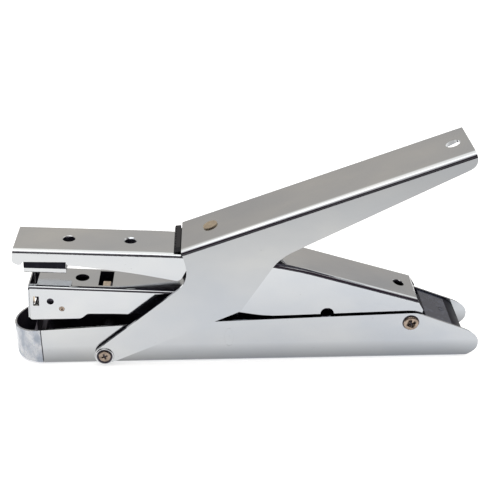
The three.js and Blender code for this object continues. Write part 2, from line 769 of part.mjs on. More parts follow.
const stapler = new THREE.Group();
stapler.add(
  part('base_channel', baseChannel(), chrome()),
  part('nose_cap', noseCap(), zinc()),
  part('driver_block', driverBlock(), steel()),
  part('driver_blade', driverBlade(), steel()),
  part('driver_rivet_front', driverRivet(frontRivetX), nickel()),
  part('driver_rivet_rear', driverRivet(rearRivetX), nickel()),
  part('handle_axle', handleAxle(), steel()),
  part('magazine_spring', magazineSpring(), steel()),
  part('arm_spring', armSpring(), steel()),
  part('anvil_arm', anvilArm(), chrome()),
  part('anvil_plate', anvilPlate(), chrome()),
  part('hinge_bracket', hingeBracket(), steel()),
  part('end_cap', endCap(), blackPlastic()),
  ...bothSides(side => part(`handle_screw_${sideName(side)}`, handleScrew(side), nickel())),
  ...bothSides(side => part(`rear_screw_${sideName(side)}`, rearScrew(side), nickel())),
  ...bothSides(side => part(`rear_spacer_${sideName(side)}`, rearSpacer(side), steel())),
  ...bothSides(side => part(`wing_washer_${sideName(side)}`, wingWasher(side), steel())),
  magazineGroup,
  handleGroup,
);

export default stapler;
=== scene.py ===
"""A plier stapler: folded chrome stampings round a staple magazine, on a pale studio floor.

Metres. +X points from the nose to the tail, +Z up. The near side has negative Y.
"""
import bmesh
import bpy
import json
from math import atan2, cos, pi, radians, sin
from mathutils import Matrix, Vector


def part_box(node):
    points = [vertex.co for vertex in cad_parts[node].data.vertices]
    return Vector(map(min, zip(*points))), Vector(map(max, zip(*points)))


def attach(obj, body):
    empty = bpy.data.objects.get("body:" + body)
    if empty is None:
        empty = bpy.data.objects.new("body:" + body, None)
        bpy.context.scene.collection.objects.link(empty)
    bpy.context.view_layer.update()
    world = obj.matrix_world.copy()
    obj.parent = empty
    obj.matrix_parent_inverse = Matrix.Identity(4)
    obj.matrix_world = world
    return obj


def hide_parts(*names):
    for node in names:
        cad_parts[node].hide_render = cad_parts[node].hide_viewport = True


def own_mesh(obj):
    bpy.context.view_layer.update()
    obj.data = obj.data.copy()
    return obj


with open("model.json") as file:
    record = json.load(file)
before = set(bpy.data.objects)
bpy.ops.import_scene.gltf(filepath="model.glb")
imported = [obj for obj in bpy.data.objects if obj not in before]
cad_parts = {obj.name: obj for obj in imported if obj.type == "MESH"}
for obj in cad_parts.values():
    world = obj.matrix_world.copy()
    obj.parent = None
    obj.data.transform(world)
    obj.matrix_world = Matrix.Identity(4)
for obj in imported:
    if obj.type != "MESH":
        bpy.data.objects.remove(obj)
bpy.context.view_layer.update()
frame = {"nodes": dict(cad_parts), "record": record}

MM = 0.001
NEAR, FAR = -1, 1
SIDE_NAMES = {NEAR: "near", FAR: "far"}

RECORD = frame["record"]
SLOT_OF = {row["node"]: row["material_slot"] for row in RECORD["subparts"]}
BODY_OF = {
    node: body
    for body, nodes in RECORD["behaviour"]["bodies"].items()
    for node in nodes
}
JOINTS = {joint["name"]: joint for joint in RECORD["behaviour"]["joints"]}
HANDLE_PIVOT = Vector(JOINTS["handle_pivot"]["pos_m"])
REAR_PIVOT = Vector(JOINTS["arm_pivot"]["pos_m"])
SLIDE_AXIS = Vector(JOINTS["loader_slide"]["axis"])

BASE_LOW, BASE_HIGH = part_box("base_channel")
NOSE_LOW, NOSE_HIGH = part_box("nose_cap")
LEVER_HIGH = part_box("handle_lever")[1]
ARM_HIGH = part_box("anvil_arm")[1]
CAP_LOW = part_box("end_cap")[0]
BASE_WALL = 0.8 * MM
LEVER_WALL = 1.2 * MM
ARM_WALL = 0.9 * MM
MAGAZINE_WALL = 1.2 * MM
TRAY_WALL = 1.2 * MM
# Which way the flat face of each channel points.
DOWN = Vector((0, 0, -1))
LEVER_RISE = radians(19.8)
LEVER_TOP = Vector((-sin(LEVER_RISE), 0, cos(LEVER_RISE)))
ARM_TOP = Vector((0.15, 0, 1)).normalized()
# Edges that turn by more than this are rounded.
SHARP_ANGLE = radians(32)


# ---------------------------------------------------------------- shader helpers

class Shader:
    """A new material with a Principled shader, and short calls to add and join nodes."""

    def __init__(self, name, color, metallic, roughness):
        self.material = bpy.data.materials.new(name)
        self.material.use_nodes = True
        self.tree = self.material.node_tree
        self.surface = self.tree.nodes["Principled BSDF"]
        self.surface.inputs["Base Color"].default_value = (*color, 1)
        self.surface.inputs["Metallic"].default_value = metallic
        self.surface.inputs["Roughness"].default_value = roughness
        self.place = self.tree.nodes.new("ShaderNodeTexCoord").outputs["Object"]

    def node(self, kind, **settings):
        made = self.tree.nodes.new("ShaderNode" + kind)
        for key, value in settings.items():
            setattr(made, key, value)
        return made

    def join(self, start, end):
        self.tree.links.new(start, end)

    def noise(self, size, detail=2.0, stretch=(1, 1, 1), shift=0.0):
        """Noise whose features are about size metres across, stretched along the axes."""
        scaled = self.node("Mapping")
        self.join(self.place, scaled.inputs["Vector"])
        scaled.inputs["Scale"].default_value = [1 / (size * s) for s in stretch]
        scaled.inputs["Location"].default_value = (shift, shift, shift)
        made = self.node("TexNoise")
        made.inputs["Scale"].default_value = 1.0
        made.inputs["Detail"].default_value = detail
        self.join(scaled.outputs["Vector"], made.inputs["Vector"])
        return made.outputs["Fac"]

    def span(self, value, low, high, to_low, to_high):
        """Maps low..high of a value to to_low..to_high, and holds it there."""
        made = self.node("MapRange", clamp=True)
        for key, number in (("From Min", low), ("From Max", high), ("To Min", to_low), ("To Max", to_high)):
            made.inputs[key].default_value = number
        self.join(value, made.inputs["Value"])
        return made.outputs["Result"]

    def math(self, operation, first, second):
        made = self.node("Math", operation=operation)
        for index, value in enumerate((first, second)):
            if isinstance(value, (int, float)):
                made.inputs[index].default_value = value
            else:
                self.join(value, made.inputs[index])
        return made.outputs[0]

    def mix(self, factor, first, second):
        """Two colours, or two colour outputs, mixed by a value."""
        made = self.node("Mix", data_type="RGBA")
        self.join(factor, made.inputs[0])
        for socket, value in ((made.inputs[6], first), (made.inputs[7], second)):
            if isinstance(value, tuple):
                socket.default_value = (*value, 1)
            else:
                self.join(value, socket)
        return made.outputs[2]

    def bump(self, height, distance, strength=1.0, under=None):
        made = self.node("Bump")
        made.inputs["Strength"].default_value = strength
        made.inputs["Distance"].default_value = distance
        self.join(height, made.inputs["Height"])
        if under is not None:
            self.join(under, made.inputs["Normal"])
        return made.outputs["Normal"]

    def finish(self, color=None, roughness=None, normal=None):
        for key, value in (("Base Color", color), ("Roughness", roughness), ("Normal", normal)):
            if value is not None:
                self.join(value, self.surface.inputs[key])
        return self.material


# ---------------------------------------------------------------- materials

CHROME = (0.60, 0.62, 0.645)
CHROME_WAVE = 0.35
CHROME_HAZE = 0.075


def chrome(name, painted_shades, reach, ripple=0.0):
    """Bright plate: pressing waves, dull smudges and long faint scratches.

    The colour is multiplied by painted shade: one factor for level faces, and for upright faces one that runs
    from the floor to the reach above it.
    """
    shader = Shader(name, CHROME, 1.0, 0.12)
    smudge = shader.span(shader.noise(9 * MM, 4.0, (2.2, 1, 1)), 0.46, 0.72, 0.0, 1.0)
    film = shader.span(shader.noise(38 * MM, 3.0, (1.6, 1, 1), 4.0), 0.35, 0.7, 0.0, 1.0)
    scratch = shader.span(shader.noise(0.35 * MM, 2.0, (70, 1, 1.4), 9.0), 0.66, 0.78, 0.0, 1.0)
    pits = shader.span(shader.noise(1.1 * MM, 1.0, (1, 1, 1), 2.0), 0.79, 0.84, 0.0, 1.0)
    dull = tuple(0.93 * c for c in CHROME)
    cloudy = (CHROME[0] * 0.84, CHROME[1] * 0.86, CHROME[2] * 0.89)
    warm = (CHROME[0] * 1.05, CHROME[1] * 1.03, CHROME[2] * 0.99)
    color = shader.mix(film, cloudy, warm)
    color = shader.mix(shader.math("MULTIPLY", smudge, 0.6), color, dull)
    color = shader.mix(pits, color, tuple(0.55 * c for c in CHROME))
    normal = shader.node("SeparateXYZ")
    shader.join(shader.node("TexCoord").outputs["Normal"], normal.inputs[0])
    height = shader.node("SeparateXYZ")
    shader.join(shader.place, height.inputs[0])
    # Painted shade: level faces and upright faces are darkened by their own factors, the upright ones by
    # height.
    upright = shader.span(shader.math("ABSOLUTE", normal.outputs["Y"], 0.0), 0.75, 0.98, 0.0, 1.0)
    painted_level_shade, painted_low_shade, painted_high_shade = painted_shades
    painted_side_shade = shader.span(height.outputs["Z"], 0.0, reach, painted_low_shade, painted_high_shade)
    painted_side_change = shader.math("MULTIPLY", upright, shader.math("SUBTRACT", painted_side_shade, painted_level_shade))
    painted_shade = shader.math("ADD", painted_side_change, painted_level_shade)
    color = shader.mix(painted_shade, (0.0, 0.0, 0.0), color)
    haze = shader.span(smudge, 0, 1, CHROME_HAZE, CHROME_HAZE + 0.09)
    roughness = shader.math("ADD", haze, shader.math("MULTIPLY", scratch, 0.12))
    long_wave = shader.bump(shader.noise(30 * MM, 1.0), 0.5 * MM, CHROME_WAVE)
    short_wave = shader.noise(6 * MM, 2.0, (2.0, 1, 1), 7.0)
    waves = shader.bump(short_wave, 0.05 * MM, CHROME_WAVE, long_wave)
    surface = shader.bump(scratch, -0.004 * MM, 0.5, waves)
    if ripple:
        surface = shader.bump(shader.noise(1.5 * MM, 2.0, (1, 1, 1), 5.0), ripple, 1.0, surface)
    return shader.finish(color, roughness, surface)


def painted_shade_steel():
    """Painted shade for the inner faces of the stampings and other places that light doesn't reach: a
    near-black plate colour with blotchy tone.
    """
    shader = Shader("painted_shade_steel", (0.06, 0.055, 0.08), 0.4, 0.4)
    stain = shader.span(shader.noise(12 * MM, 4.0), 0.35, 0.7, 0.0, 1.0)
    color = shader.mix(stain, (0.045, 0.040, 0.062), (0.120, 0.110, 0.140))
    grain = shader.bump(shader.noise(0.8 * MM, 3.0), 0.02 * MM, 0.5)
    return shader.finish(color, shader.span(stain, 0, 1, 0.28, 0.5), grain)


def zinc_sheet():
    """Dull plate with cloudy patches, as a thin zinc coat has."""
    shader = Shader("zinc_sheet", (0.5, 0.53, 0.58), 1.0, 0.3)
    cloud = shader.span(shader.noise(4.2 * MM, 5.0, (1, 1, 1.7)), 0.40, 0.62, 0.0, 1.0)
    speck = shader.span(shader.noise(0.9 * MM, 4.0, (1, 1, 1.6), 3.0), 0.50, 0.70, 0.0, 1.0)
    color = shader.mix(cloud, (0.50, 0.51, 0.53), (0.30, 0.33, 0.38))
    color = shader.mix(speck, color, (0.37, 0.40, 0.45))
    roughness = shader.span(cloud, 0, 1, 0.20, 0.38)
    grain = shader.bump(shader.noise(0.7 * MM, 4.0), 0.02 * MM, 0.5)
    return shader.finish(color, roughness, grain)


def plated(name, light, dark, roughness, grain_size=0.6 * MM):
    """Satin plated or bare steel with fine grain and slight staining."""
    shader = Shader(name, light, 1.0, roughness)
    stain = shader.span(shader.noise(1.6 * MM, 4.0), 0.38, 0.68, 0.0, 1.0)
    color = shader.mix(stain, light, dark)
    grain = shader.bump(shader.noise(grain_size, 3.0, (6, 1, 1)), 0.008 * MM, 0.6)
    return shader.finish(color, shader.span(stain, 0, 1, roughness, roughness + 0.12), grain)


def moulded(name, color, roughness, grain_depth, shine=0.5):
    """Black moulded plastic: fine grain, faint flow marks and dust."""
    shader = Shader(name, color, 0.0, roughness)
    shader.surface.inputs["Specular IOR Level"].default_value = shine
    dust = shader.span(shader.noise(3 * MM, 4.0), 0.52, 0.78, 0.0, 1.0)
    paint = shader.mix(dust, color, tuple(c * 1.7 + 0.006 for c in color))
    grain = shader.bump(shader.noise(0.3 * MM, 2.0), grain_depth, 0.6)
    flow = shader.bump(shader.noise(14 * MM, 1.0), 0.25 * MM, 0.25, grain)
    return shader.finish(paint, shader.span(dust, 0, 1, roughness, roughness + 0.15), flow)


MATERIALS = {
    # Painted shade: the level faces of the plain chrome are a little darker than its upright ones.
    "chrome_sheet": chrome("chrome_sheet", (0.88, 0.94, 0.94), 90 * MM),
    "zinc_sheet": zinc_sheet(),
    "nickel_fastener": plated("nickel_fastener", (0.36, 0.29, 0.235), (0.20, 0.155, 0.125), 0.22),
    "nickel_rail": plated("nickel_rail", (0.92, 0.80, 0.66), (0.76, 0.64, 0.51), 0.34),
    "dark_steel": plated("dark_steel", (0.11, 0.11, 0.125), (0.05, 0.05, 0.06), 0.32),
    "spring_steel": plated("spring_steel", (0.45, 0.45, 0.47), (0.25, 0.25, 0.27), 0.25),
    "brass_rivet": plated("brass_rivet", (0.50, 0.42, 0.31), (0.40, 0.33, 0.25), 0.38, 0.25 * MM),
    "black_nylon": moulded("black_nylon", (0.010, 0.010, 0.013), 0.38, 0.02 * MM, 0.2),
    "black_plastic": moulded("black_plastic", (0.040, 0.046, 0.070), 0.10, 0.001 * MM),
}
# Painted shade: the near-black material for faces in shadow.
PAINTED_SHADE_STEEL = painted_shade_steel()
# Copies of the chrome with their own painted shade: each has its own factors for level faces and for upright
# faces by height, with the base's sides darkest near the floor and the lever's sides darker higher up.
BASE_CHROME = chrome("base_chrome", (0.90, 0.40, 0.88), 9 * MM)
LEVER_CHROME = chrome("lever_chrome", (0.88, 0.96, 0.54), 84 * MM)
ARM_CHROME = chrome("arm_chrome", (0.92, 0.84, 0.92), 44 * MM, 0.035 * MM)
# Painted shadow: a darker, duller copy of the black plastic for faces in shadow.
PAINTED_SHADOW_BLACK = moulded("painted_shadow_black", (0.008, 0.008, 0.014), 0.5, 0.01 * MM, 0.08)


# ---------------------------------------------------------------- mesh helpers

def mesh_from(name, points, faces):
    mesh = bpy.data.meshes.new(name)
    mesh.from_pydata([tuple(p) for p in points], [], faces)
    mesh.update()
    return mesh


def thing(name, data):
    """A new object in the scene."""
    made = bpy.data.objects.new(name, data)
    bpy.context.scene.collection.objects.link(made)
    return made


def clean(mesh):
    """Turns the faces of a closed mesh to point outwards."""
    shape = bmesh.new()
    shape.from_mesh(mesh)
    bmesh.ops.remove_doubles(shape, verts=shape.verts, dist=1e-7)
    bmesh.ops.recalc_face_normals(shape, faces=shape.faces)
    shape.to_mesh(mesh)
    shape.free()
    return mesh


def plain_copy(node):
    """A CAD node's shape with its flat triangles joined into whole faces."""
    source = frame["nodes"][node].data
    faces = [tuple(face.vertices) for face in source.polygons]
    mesh = mesh_from("fine_" + node, [vertex.co for vertex in source.vertices], faces)
    shape = bmesh.new()
    shape.from_mesh(mesh)
    same_place, flat = 2e-6, radians(0.7)
    bmesh.ops.remove_doubles(shape, verts=shape.verts, dist=same_place)
    bmesh.ops.dissolve_degenerate(shape, edges=shape.edges, dist=same_place)
    bmesh.ops.dissolve_limit(shape, angle_limit=flat, verts=shape.verts, edges=shape.edges)
    shape.to_mesh(mesh)
    shape.free()
    return mesh


def grid_faces(rows, columns, wrap_rows=False):
    """Faces of a grid of points laid out row by row, where each row is a closed loop."""
    faces = []
    for row in range(rows if wrap_rows else rows - 1):
        here, below = row * columns, (row + 1) % rows * columns
        for column in range(columns):
            after = (column + 1) % columns
            faces.append((here + column, here + after, below + after, below + column))
    return faces


def turned_points(profile, place, segments):
    """A ring of points for each (radius, along) of a profile; place maps +Z to the axis."""
    points = []
    for radius, along in profile:
        for step in range(segments):
            turn = 2 * pi * step / segments
            points.append(place @ Vector((radius * cos(turn), radius * sin(turn), along)))
    return points


def lathe(name, profile, place, segments):
    """A closed turned shape, whose profile runs from axis to axis."""
    rings = profile[1:-1]
    points = turned_points(rings, place, segments)
    faces = grid_faces(len(rings), segments)
    first = len(points)
    points.append(place @ Vector((0, 0, profile[0][1])))
    points.append(place @ Vector((0, 0, profile[-1][1])))
    last_row = (len(rings) - 1) * segments
    for step in range(segments):
        after = (step + 1) % segments
        faces.append((first, after, step))
        faces.append((first + 1, last_row + step, last_row + after))
    return clean(mesh_from(name, points, faces))


def ring_lathe(name, profile, place, segments):
    """A turned ring, whose closed profile doesn't reach the axis."""
    faces = grid_faces(len(profile), segments, True)
    return clean(mesh_from(name, turned_points(profile, place, segments), faces))


def slab(name, low, high, place=Matrix.Identity(4), taper=1.0):
    """A block between two corners; taper shrinks its low Z face."""
    middle = (Vector(low) + Vector(high)) / 2
    points = []
    for z, share in ((low[2], taper), (high[2], 1.0)):
        for x, y in ((low[0], low[1]), (high[0], low[1]), (high[0], high[1]), (low[0], high[1])):
            across = middle.x + (x - middle.x) * share
            along = middle.y + (y - middle.y) * share
            points.append(place @ Vector((across, along, z)))
    sides = [(i, (i + 1) % 4, 4 + (i + 1) % 4, 4 + i) for i in range(4)]
    return clean(mesh_from(name, points, [(3, 2, 1, 0), (4, 5, 6, 7), *sides]))


def side_axis(side, middle):
    """A place whose +Z points out of the tool on one side, at a point."""
    return Matrix.Translation(middle) @ Matrix.Rotation(-side * pi / 2, 4, "X")


def cut(mesh, cutters):
    """The mesh after each cutter has been cut out of it."""
    piece = thing("piece_to_cut", mesh)
    tools = [thing("cutter", cutter) for cutter in cutters]
    for tool in tools:
        step = piece.modifiers.new("cut", "BOOLEAN")
        step.operation = "DIFFERENCE"
        step.solver = "EXACT"
        step.object = tool
    bpy.context.view_layer.update()
    result = bpy.data.meshes.new_from_object(piece.evaluated_get(bpy.context.evaluated_depsgraph_get()))
    result.name = mesh.name
    for tool in [piece, *tools]:
        bpy.data.objects.remove(tool)
    return result


def rounded(piece, width, segments=3):
    """Small rounded edges and flat faces that stay flat in the shading."""
    for face in piece.data.polygons:
        face.use_smooth = True
    if width:
        bevel = piece.modifiers.new("edges", "BEVEL")
        bevel.width = width
        bevel.segments = segments
        bevel.limit_method = "ANGLE"
        bevel.angle_limit = SHARP_ANGLE
        bevel.miter_outer = "MITER_ARC"
        bevel.harden_normals = False
    weighted = piece.modifiers.new("normals", "WEIGHTED_NORMAL")
    weighted.mode = "FACE_AREA_WITH_ANGLE"
    weighted.weight = 80


def paint_shade_inside(mesh, half, wall, web):
    """Gives the second material, painted shade, to the faces that look into a channel; web points out of its
    flat face.
    """
    inner = half - wall + 0.06 * MM
    for face in mesh.polygons:
        side = 1 if face.center.y > 0 else -1
        inward = -face.normal.y * side - face.normal.dot(web)
        if inward > 0.6 and abs(face.center.y) < inner:
            face.material_index = 1


def split(mesh, place, normal):
    """Adds edges to a mesh along a plane."""
    shape = bmesh.new()
    shape.from_mesh(mesh)
    parts = [*shape.verts, *shape.edges, *shape.faces]
    bmesh.ops.bisect_plane(shape, geom=parts, plane_co=place, plane_no=normal)
    shape.to_mesh(mesh)
    shape.free()
    return mesh


def darken(mesh, test, index=1):
    """Gives the second material, or the one with the index, to the faces that pass a test."""
    for face in mesh.polygons:
        if test(face):
            face.material_index = index


def place_piece(name, mesh, node, width=0.0, segments=3, first=None, second=None):
    """Makes the piece that stands for a CAD node and rides on its body.

    Without a first material it has the one of the node's slot.
    """
    piece = thing(name, mesh)
    marks = [face.material_index for face in mesh.polygons]
    mesh.materials.clear()
    mesh.materials.append(first or MATERIALS[SLOT_OF[node]])
    if second:
        # Clearing the materials has set every face back to the first one.
        for face, mark in zip(mesh.polygons, marks):
            face.material_index = mark
        mesh.materials.append(second)
    rounded(piece, width, segments)
    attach(piece, BODY_OF[node])
    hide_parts(node)
    return piece


def loose_piece(name, mesh, body, materials, width=0.0):
    """Makes a piece that no CAD node stands for."""
    piece = thing(name, mesh)
    for material in materials:
        mesh.materials.append(material)
    rounded(piece, width)
    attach(piece, body)


# ---------------------------------------------------------------- base

def base():
    """The base channel, with an oval line stamped into each side, and painted shade on its inner faces but
    not at the tail.
    """
    mesh = plain_copy("base_channel")
    half = BASE_HIGH.y
    mark_middle = Vector((-7.7 * MM, 0, 12.3 * MM))
    mark_across, mark_up = 1.9 * MM, 4.5 * MM
    line, line_depth, outside = 0.28 * MM, 0.06 * MM, 0.3 * MM
    steps = 40
    cutters = []
    for side in (NEAR, FAR):
        place = side_axis(side, mark_middle + Vector((0, side * half, 0)))
        points = []
        for grow, depth in ((1, -line_depth), (-1, -line_depth), (-1, outside), (1, outside)):
            for step in range(steps):
                turn = 2 * pi * step / steps
                across = (mark_across + grow * line / 2) * cos(turn)
                up = (mark_up + grow * line / 2) * sin(turn)
                points.append(place @ Vector((across, up, depth)))
        cutters.append(clean(mesh_from("mark", points, grid_faces(4, steps, True))))
    mesh = cut(mesh, cutters)
    painted_shade_end = CAP_LOW.x + 5 * MM
    mesh = split(mesh, Vector((painted_shade_end, 0, 0)), Vector((1, 0, 0)))
    # Painted shade on the inner faces, taken off again behind the tail cap.
    paint_shade_inside(mesh, half, BASE_WALL, DOWN)
    darken(mesh, lambda face: face.center.x > painted_shade_end, 0)
    place_piece("base_stamping", mesh, "base_channel", width=0.22 * MM, second=PAINTED_SHADE_STEEL, first=BASE_CHROME)


def nose():
    """A drawn half-round cup, dished at its foot, with a slanted rim."""
    radius = BASE_HIGH.y
    centre = NOSE_LOW.x + radius
    foot = 2.0 * MM
    rim_front, rim_back = 15.5 * MM, NOSE_HIGH.z
    steps_round, steps_foot = 48, 10

    def rim(x):
        share = min(max((x - NOSE_LOW.x) / radius, 0), 1)
        return rim_front + share * (rim_back - rim_front)

    def shell(outer, floor, bend):
        rows = []
        for step in range(steps_round + 1):
            turn = pi / 2 + pi * step / steps_round
            way = Vector((cos(turn), sin(turn), 0))
            middle = Vector((centre, 0, 0))
            row = [middle + Vector((0, 0, floor)) + way * 0.02 * MM]
            for part in range(steps_foot + 1):
                lean = (pi / 2) * part / steps_foot
                reach = outer - bend + bend * sin(lean)
                row.append(middle + way * reach + Vector((0, 0, floor + bend - bend * cos(lean))))
            top = middle + way * outer
            row.append(Vector((top.x, top.y, rim(top.x))))
            rows.append(row)
        return rows

    outer = shell(radius, 0, foot)
    inner = shell(radius - BASE_WALL, BASE_WALL, foot - BASE_WALL)
    count = len(outer[0])
    points = [p for a, b in zip(outer, inner) for p in [*a, *reversed(b)]]
    loop = 2 * count
    faces = grid_faces(steps_round + 1, loop)
    faces.append(tuple(reversed(range(loop))))
    faces.append(tuple(steps_round * loop + i for i in range(loop)))
    mesh = clean(mesh_from("nose_cup", points, faces))
    # Painted shade on the faces that look inward and on the cup's end faces.
    heart = Vector((centre + 0.1 * MM, 0, 9 * MM))
    darken(mesh, lambda face: face.normal.dot(face.center - heart) < -0.5 * MM or face.normal.x > 0.7)
    place_piece("nose_cup", mesh, "nose_cap", width=0.18 * MM, second=PAINTED_SHADE_STEEL)

    # Painted shade: dark strips behind the two seams with the base.
    seam = BASE_LOW.x
    wall = radius - BASE_WALL
    for side in (NEAR, FAR):
        name = f"seam_shade_strip_{SIDE_NAMES[side]}"
        low_y, high_y = sorted((side * (wall - 0.03 * MM), side * (wall - 0.25 * MM)))
        strip = slab(name, (seam - 1.2 * MM, low_y, 2.5 * MM), (seam + 1.0 * MM, high_y, rim_back - 0.6 * MM))
        loose_piece(name, strip, "base", [PAINTED_SHADE_STEEL])


# ---------------------------------------------------------------- lever, arm and magazine

def lever():
    """The handle lever, with painted shade inside but for its tail."""
    painted_shade_end = LEVER_HIGH.x - 24 * MM
    mesh = split(plain_copy("handle_lever"), Vector((painted_shade_end, 0, 0)), Vector((1, 0, 0)))
    paint_shade_inside(mesh, LEVER_HIGH.y, LEVER_WALL, LEVER_TOP)
    darken(mesh, lambda face: face.center.x > painted_shade_end, 0)
    place_piece("lever_stamping", mesh, "handle_lever", width=0.25 * MM, second=PAINTED_SHADE_STEEL, first=LEVER_CHROME)


# x, radius and sinking of the holes in the arm's top, in millimetres. A collar hangs
# under the holes in the front half, in painted shadow black so that the holes read dark.
ARM_HOLES = ((-74.2, 2.55, 0.2), (-48.6, 2.35, 0.55), (66.1, 2.4, 0.2))


def arm():
    """The long arm, with sunk edges round the holes in its top."""
    mesh = plain_copy("anvil_arm")
    holes = []
    for index, (x, radius, depth) in enumerate(ARM_HOLES):
        low, high = arm_top(x * MM)
        tilt = Matrix.Rotation(atan2(low.z - high.z, high.x - low.x), 4, "Y")
        place = Matrix.Translation((low + high) / 2) @ tilt
        r, d = radius * MM, depth * MM
        holes.append(lathe("sink", [(0, -d), (r, -d), (r + 2 * d, d), (0, d)], place, 40))
        if x < 0:
            outer = r + 0.5 * MM
            profile = [(r, -0.5 * MM), (outer, -0.9 * MM), (outer, -2.9 * MM), (r, -2.9 * MM)]
            collar = ring_lathe("collar", profile, place, 40)
            loose_piece(f"arm_collar_{index + 1}", collar, "arm", [PAINTED_SHADOW_BLACK])
    mesh = cut(mesh, holes)
    # Painted shade on the inner faces.
    paint_shade_inside(mesh, ARM_HIGH.y, ARM_WALL, ARM_TOP)
    place_piece("arm_stamping", mesh, "anvil_arm", width=0.18 * MM, second=PAINTED_SHADE_STEEL, first=ARM_CHROME)


def ray_down(node, x, y):
    """Where a ray straight down first meets a CAD node, and the normal there.

    It has to come before a piece replaces the node.
    """
    _, point, normal, _ = frame["nodes"][node].ray_cast(Vector((x, y, 0.2)), Vector((0, 0, -1)))
    return point, normal


def arm_top(x, reach=3 * MM):
    """Two points on the arm's top, either side of x."""
    found = []
    for place in (x - reach, x + reach):
        point, _ = ray_down("anvil_arm", place, 6 * MM)
        found.append(Vector((place, 0, point.z)))
    return found


def refined(node, width):
    """A CAD node's own shape, with rounded edges."""
    place_piece("fine_" + node, plain_copy(node), node, width=width)


def magazine():
    """The staple magazine: its channel, front plate, pin and rail, and what shows in its windows."""
    along = SLIDE_AXIS
    up = Vector((-along.z, 0, along.x))
    box_low, box_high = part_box("magazine_housing")
    mesh = plain_copy("magazine_housing")
    # Painted shade on the inner faces of the channel.
    paint_shade_inside(mesh, box_high.y, MAGAZINE_WALL, up)
    place_piece("magazine_stamping", mesh, "magazine_housing", width=0.2 * MM, second=PAINTED_SHADE_STEEL)

    mesh = plain_copy("magazine_front_plate")
    # Painted shade on the plate's rear faces.
    darken(mesh, lambda face: face.normal.x > 0.5)
    place_piece("front_plate", mesh, "magazine_front_plate", width=0.12 * MM, second=PAINTED_SHADE_STEEL)

    # The pin's ends are centre-drilled.
    low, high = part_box("magazine_pin")
    middle = (low + high) / 2
    cone = [(0, -0.7 * MM), (0.65 * MM, 0.1 * MM), (0, 0.1 * MM)]
    drills = []
    for side, face in ((NEAR, low.y), (FAR, high.y)):
        place = side_axis(side, Vector((middle.x, face, middle.z)))
        drills.append(lathe("drill", cone, place, 24))
    place_piece("front_pin", cut(plain_copy("magazine_pin"), drills), "magazine_pin", width=0.12 * MM)

    # The rail is in painted shade but for its nose and the tab in the top window.
    mesh = plain_copy("staple_rail")
    low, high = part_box("staple_rail")
    top, _ = ray_down("staple_rail", low.x + 28 * MM, low.y + 0.6 * MM)
    nose_end = low.x + 1.6 * MM
    tab_start, tab_end = low.x + 27.6 * MM, low.x + 31.6 * MM
    darken(mesh, lambda face: not (
        face.center.x < nose_end or (tab_start < face.center.x < tab_end and face.normal.z > 0.5)
    ))
    place_piece("rail", mesh, "staple_rail", width=0.12 * MM, second=PAINTED_SHADE_STEEL)
    place = Matrix.Translation((tab_start, 0, top.z)) @ Matrix.Rotation(atan2(-along.z, along.x), 4, "Y")
    tab = slab("rail_tab", (0, low.y + 0.2 * MM, -0.6 * MM), (3.2 * MM, -1.2 * MM, 0.9 * MM), place)
    body, nickel = BODY_OF["staple_rail"], MATERIALS["nickel_rail"]
    loose_piece("rail_tab", tab, body, [nickel], 0.15 * MM)
    refined("hinge_bracket", 0.2 * MM)

    # Behind the front windows: a sheet of painted shade on the far wall and a pale guide post at the near
    # one.
    wall = box_high.y - MAGAZINE_WALL
    body = BODY_OF["magazine_housing"]
    shade_backing = slab("window_shade_backing", (box_low.x + 1.1 * MM, wall - 0.28 * MM, 25 * MM),
                   (box_low.x + 4.8 * MM, wall - 0.03 * MM, 35 * MM))
    loose_piece("window_shade_backing", shade_backing, body, [PAINTED_SHADE_STEEL])
    post = slab("guide_post", (box_low.x + 1.6 * MM, 0.3 * MM - wall, 28 * MM),
                (box_low.x + 2.5 * MM, 0.8 * MM - wall, 32 * MM))
    loose_piece("guide_post", post, body, [nickel])


def anvil():
    """The tray under the arm's tip: bright below, in shadow above, with a small notch in its near wall."""
    low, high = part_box("anvil_plate")
    notch_radius, notch_reach, notch_squash = 1.3 * MM, 2 * MM, 0.62
    place = (Matrix.Translation((high.x - 3.9 * MM, low.y, low.z + 0.2 * MM))
             @ Matrix.Scale(notch_squash, 4, (0, 0, 1)) @ Matrix.Rotation(pi / 2, 4, "X"))
    profile = [(0, -notch_reach), (notch_radius, -notch_reach), (notch_radius, notch_reach), (0, notch_reach)]
    mesh = cut(plain_copy("anvil_plate"), [lathe("notch", profile, place, 32)])
    painted_shade = Vector((low.x, 0, low.z + 3.5 * MM))
    above = Vector((0.05, 0, 1))
    mesh = split(mesh, painted_shade, above)
    # Painted shadow black on the faces inside the tray and on the upper part of its walls.
    paint_shade_inside(mesh, high.y, TRAY_WALL, DOWN)
    darken(mesh, lambda face: abs(face.normal.y) > 0.7 and (face.center - painted_shade).dot(above) > 0)
    place_piece("anvil_tray", mesh, "anvil_plate", width=0.15 * MM, second=PAINTED_SHADOW_BLACK)


def small_parts():
    """The parts that keep their CAD shape: ones in painted shade inside the base, then the bright ones."""
    for node, width in (("driver_block", 0.3), ("driver_blade", 0.1), ("follower", 0.25)):
        # Painted shade: the parts deep in the base take the shade material.
        place_piece("dark_" + node, plain_copy(node), node, width=width * MM, first=PAINTED_SHADE_STEEL)
    for node, width in (
        ("driver_rivet_front", 0.2), ("driver_rivet_rear", 0.2),
        ("handle_axle", 0.2), ("rear_spacer_near", 0.2), ("rear_spacer_far", 0.2),
        ("wing_washer_near", 0.12), ("wing_washer_far", 0.12), ("guide_rod", 0.25),
        ("pad_rivet", 0.14),
    ):
        refined(node, width * MM)


# ---------------------------------------------------------------- screws

